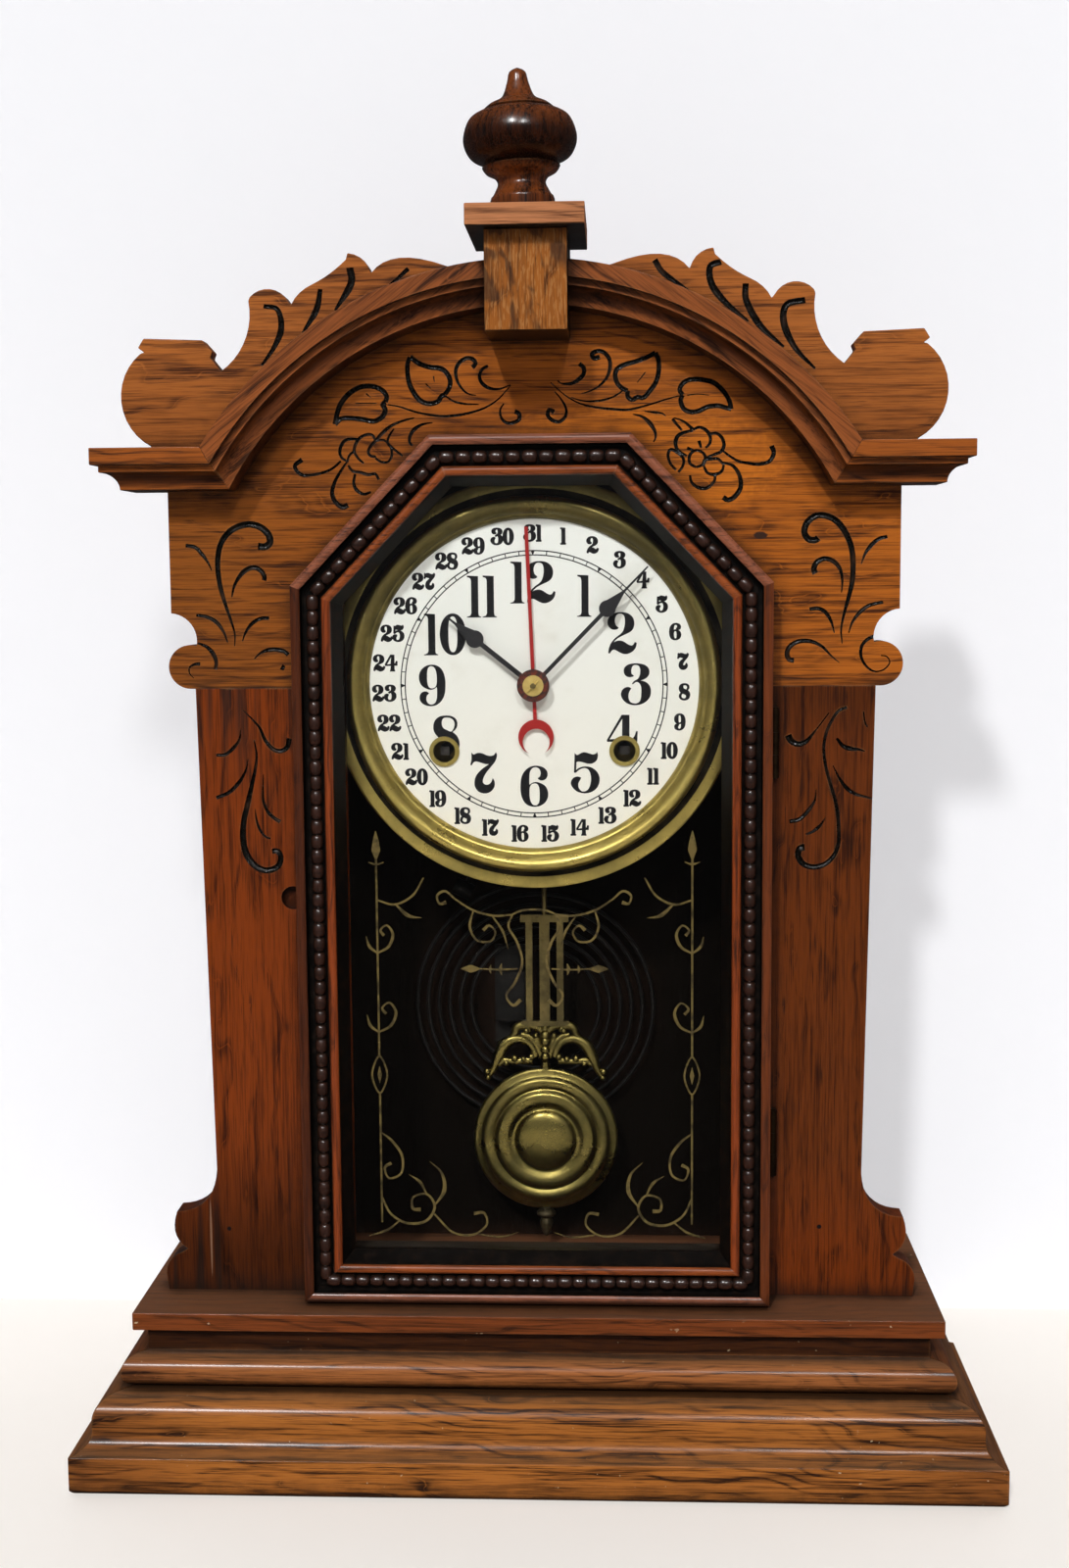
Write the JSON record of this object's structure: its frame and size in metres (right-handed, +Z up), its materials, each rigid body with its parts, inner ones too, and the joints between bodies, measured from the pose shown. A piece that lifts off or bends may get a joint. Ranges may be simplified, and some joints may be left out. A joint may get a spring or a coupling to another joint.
{
  "type": "calendar shelf clock",
  "caption": "Carved oak shelf clock with arched crest, turned finial, beaded glass door, white dial with date hand, brass pendulum and wire gong.",
  "frame": {"origin": "middle of the footprint on the shelf, at the bottom of the base", "axes": "+X to the viewer's right, +Y to the back, +Z up"},
  "size_m": [0.408, 0.135, 0.61],
  "materials": {
    "case_oak": "brown varnished oak, horizontal and vertical grain",
    "base_oak": "varnished oak, lighter and streaky",
    "dark_oak": "dark red-brown varnish",
    "brass": "aged brass",
    "steel": "plain steel",
    "black_iron": "black",
    "glass": "clear, with gold line ornament",
    "dial_paper": "off-white paper on tin",
    "black_hands": "black",
    "red_hand": "red"
  },
  "bodies": {
    "case": {"base_front_moulding": "base_oak", "base_side_mouldings": "base_oak", "base_back_rail": "base_oak", "neck_front_moulding": "case_oak", "neck_side_mouldings": "case_oak", "plinth_board": "base_oak", "case_sides": "dark_oak", "case_top": "dark_oak", "case_back": "dark_oak", "pillar_left": "case_oak", "pillar_right": "case_oak", "sill_rail": "dark_oak", "upper_board": "case_oak", "crest_board": "case_oak", "arch_mouldings": "case_oak", "cornice_ends": "case_oak", "keystone_block": "case_oak", "cap_plate": "case_oak", "finial": "dark_oak", "case_hinge_leaves": "brass", "hinge_pins": "steel", "dial_pan": "brass", "dial_face": "dial_paper", "winding_grommets": "brass", "dial_screws": "steel", "front_plate": "brass", "back_plate": "brass", "plate_pillars": "brass", "mainsprings": "steel", "gong_coil": "black_iron", "gong_stand": "black_iron"},
    "door": {"door_bottom_rail": "dark_oak", "door_stile_left": "dark_oak", "door_stile_right": "dark_oak", "door_corner_rails": "dark_oak", "door_top_rail": "dark_oak", "door_glass": "glass", "glass_beads": "dark_oak", "door_hinge_leaves": "brass"},
    "minute_body": {"centre_wheel": "brass", "minute_hand": "black_hands", "hand_washer": "brass", "taper_pin": "brass"},
    "hour_body": {"hour_wheel": "brass", "hour_hand": "black_hands"},
    "date_body": {"calendar_wheel": "brass", "calendar_hand": "red_hand"},
    "minute_wheel_body": {"minute_wheel": "brass"},
    "day_wheel_body": {"day_wheel": "brass"},
    "second_wheel_body": {"second_wheel": "brass"},
    "time_great_wheel_body": {"time_great_wheel": "brass"},
    "third_wheel_body": {"third_wheel": "brass"},
    "escape_wheel_body": {"escape_wheel": "brass"},
    "time_winding_body": {"time_winding_arbor": "steel"},
    "strike_great_wheel_body": {"strike_great_wheel": "brass"},
    "strike_winding_body": {"strike_winding_arbor": "steel"},
    "pendulum": {"pendulum_rod": "brass", "pendulum_bob": "brass"},
    "verge_body": {"verge": "steel"},
    "hammer_body": {"strike_hammer": "steel"}
  },
  "joints": [
    {"name": "door_hinge", "type": "hinge", "parent": "case", "child": "door", "pos_m": [0.1062, -0.0169, 0.2], "axis": [0, 0, 1], "range_deg": [0, 100]},
    {"name": "minute_spin", "type": "hinge", "parent": "case", "child": "minute_body", "pos_m": [0, 0.02, 0.3505], "axis": [0, 1, 0], "continuous": true},
    {"name": "hour_spin", "type": "hinge", "parent": "case", "child": "hour_body", "pos_m": [0, 0.02, 0.3505], "axis": [0, 1, 0], "continuous": true},
    {"name": "date_spin", "type": "hinge", "parent": "case", "child": "date_body", "pos_m": [0, 0.02, 0.3505], "axis": [0, 1, 0], "continuous": true},
    {"name": "minute_wheel_spin", "type": "hinge", "parent": "case", "child": "minute_wheel_body", "pos_m": [0.006, 0.02, 0.36089], "axis": [0, 1, 0], "continuous": true},
    {"name": "day_wheel_spin", "type": "hinge", "parent": "case", "child": "day_wheel_body", "pos_m": [-0.00771, 0.02, 0.35969], "axis": [0, 1, 0], "continuous": true},
    {"name": "second_wheel_spin", "type": "hinge", "parent": "case", "child": "second_wheel_body", "pos_m": [0.01904, 0.02, 0.34291], "axis": [0, 1, 0], "continuous": true},
    {"name": "time_great_wheel_spin", "type": "hinge", "parent": "case", "child": "time_great_wheel_body", "pos_m": [0.0403, 0.02, 0.3209], "axis": [0, 1, 0], "continuous": true},
    {"name": "third_wheel_spin", "type": "hinge", "parent": "case", "child": "third_wheel_body", "pos_m": [-0.00963, 0.02, 0.36627], "axis": [0, 1, 0], "continuous": true},
    {"name": "escape_wheel_spin", "type": "hinge", "parent": "case", "child": "escape_wheel_body", "pos_m": [0.002, 0.02, 0.372], "axis": [0, 1, 0], "continuous": true},
    {"name": "time_winding", "type": "hinge", "parent": "time_great_wheel_body", "child": "time_winding_body", "pos_m": [0.0403, 0.02, 0.3209], "axis": [0, 1, 0], "continuous": true},
    {"name": "strike_great_wheel_spin", "type": "hinge", "parent": "case", "child": "strike_great_wheel_body", "pos_m": [-0.0403, 0.02, 0.3209], "axis": [0, 1, 0], "continuous": true},
    {"name": "strike_winding", "type": "hinge", "parent": "strike_great_wheel_body", "child": "strike_winding_body", "pos_m": [-0.0403, 0.02, 0.3209], "axis": [0, 1, 0], "continuous": true},
    {"name": "pendulum_swing", "type": "hinge", "parent": "case", "child": "pendulum", "pos_m": [0.002, 0.02, 0.3885], "axis": [0, 1, 0], "range_deg": [-3, 3]},
    {"name": "verge_rock", "type": "hinge", "parent": "case", "child": "verge_body", "pos_m": [0.002, 0.02, 0.3885], "axis": [0, 1, 0], "range_deg": [-3, 3]},
    {"name": "hammer_lift", "type": "hinge", "parent": "case", "child": "hammer_body", "pos_m": [-0.012, 0.02, 0.3005], "axis": [0, 1, 0], "range_deg": [0, 18]}
  ],
  "couplings": [
    {"joint": "hour_spin", "follows": "minute_spin", "ratio": 0.083333},
    {"joint": "date_spin", "follows": "minute_spin", "ratio": 0.0013441},
    {"joint": "minute_wheel_spin", "follows": "minute_spin", "ratio": -0.33333},
    {"joint": "day_wheel_spin", "follows": "minute_spin", "ratio": -0.041667},
    {"joint": "second_wheel_spin", "follows": "minute_spin", "ratio": -0.17143},
    {"joint": "time_great_wheel_spin", "follows": "minute_spin", "ratio": 0.026374},
    {"joint": "third_wheel_spin", "follows": "minute_spin", "ratio": -10},
    {"joint": "escape_wheel_spin", "follows": "minute_spin", "ratio": 80},
    {"joint": "verge_rock", "follows": "pendulum_swing", "ratio": 1}
  ]
}
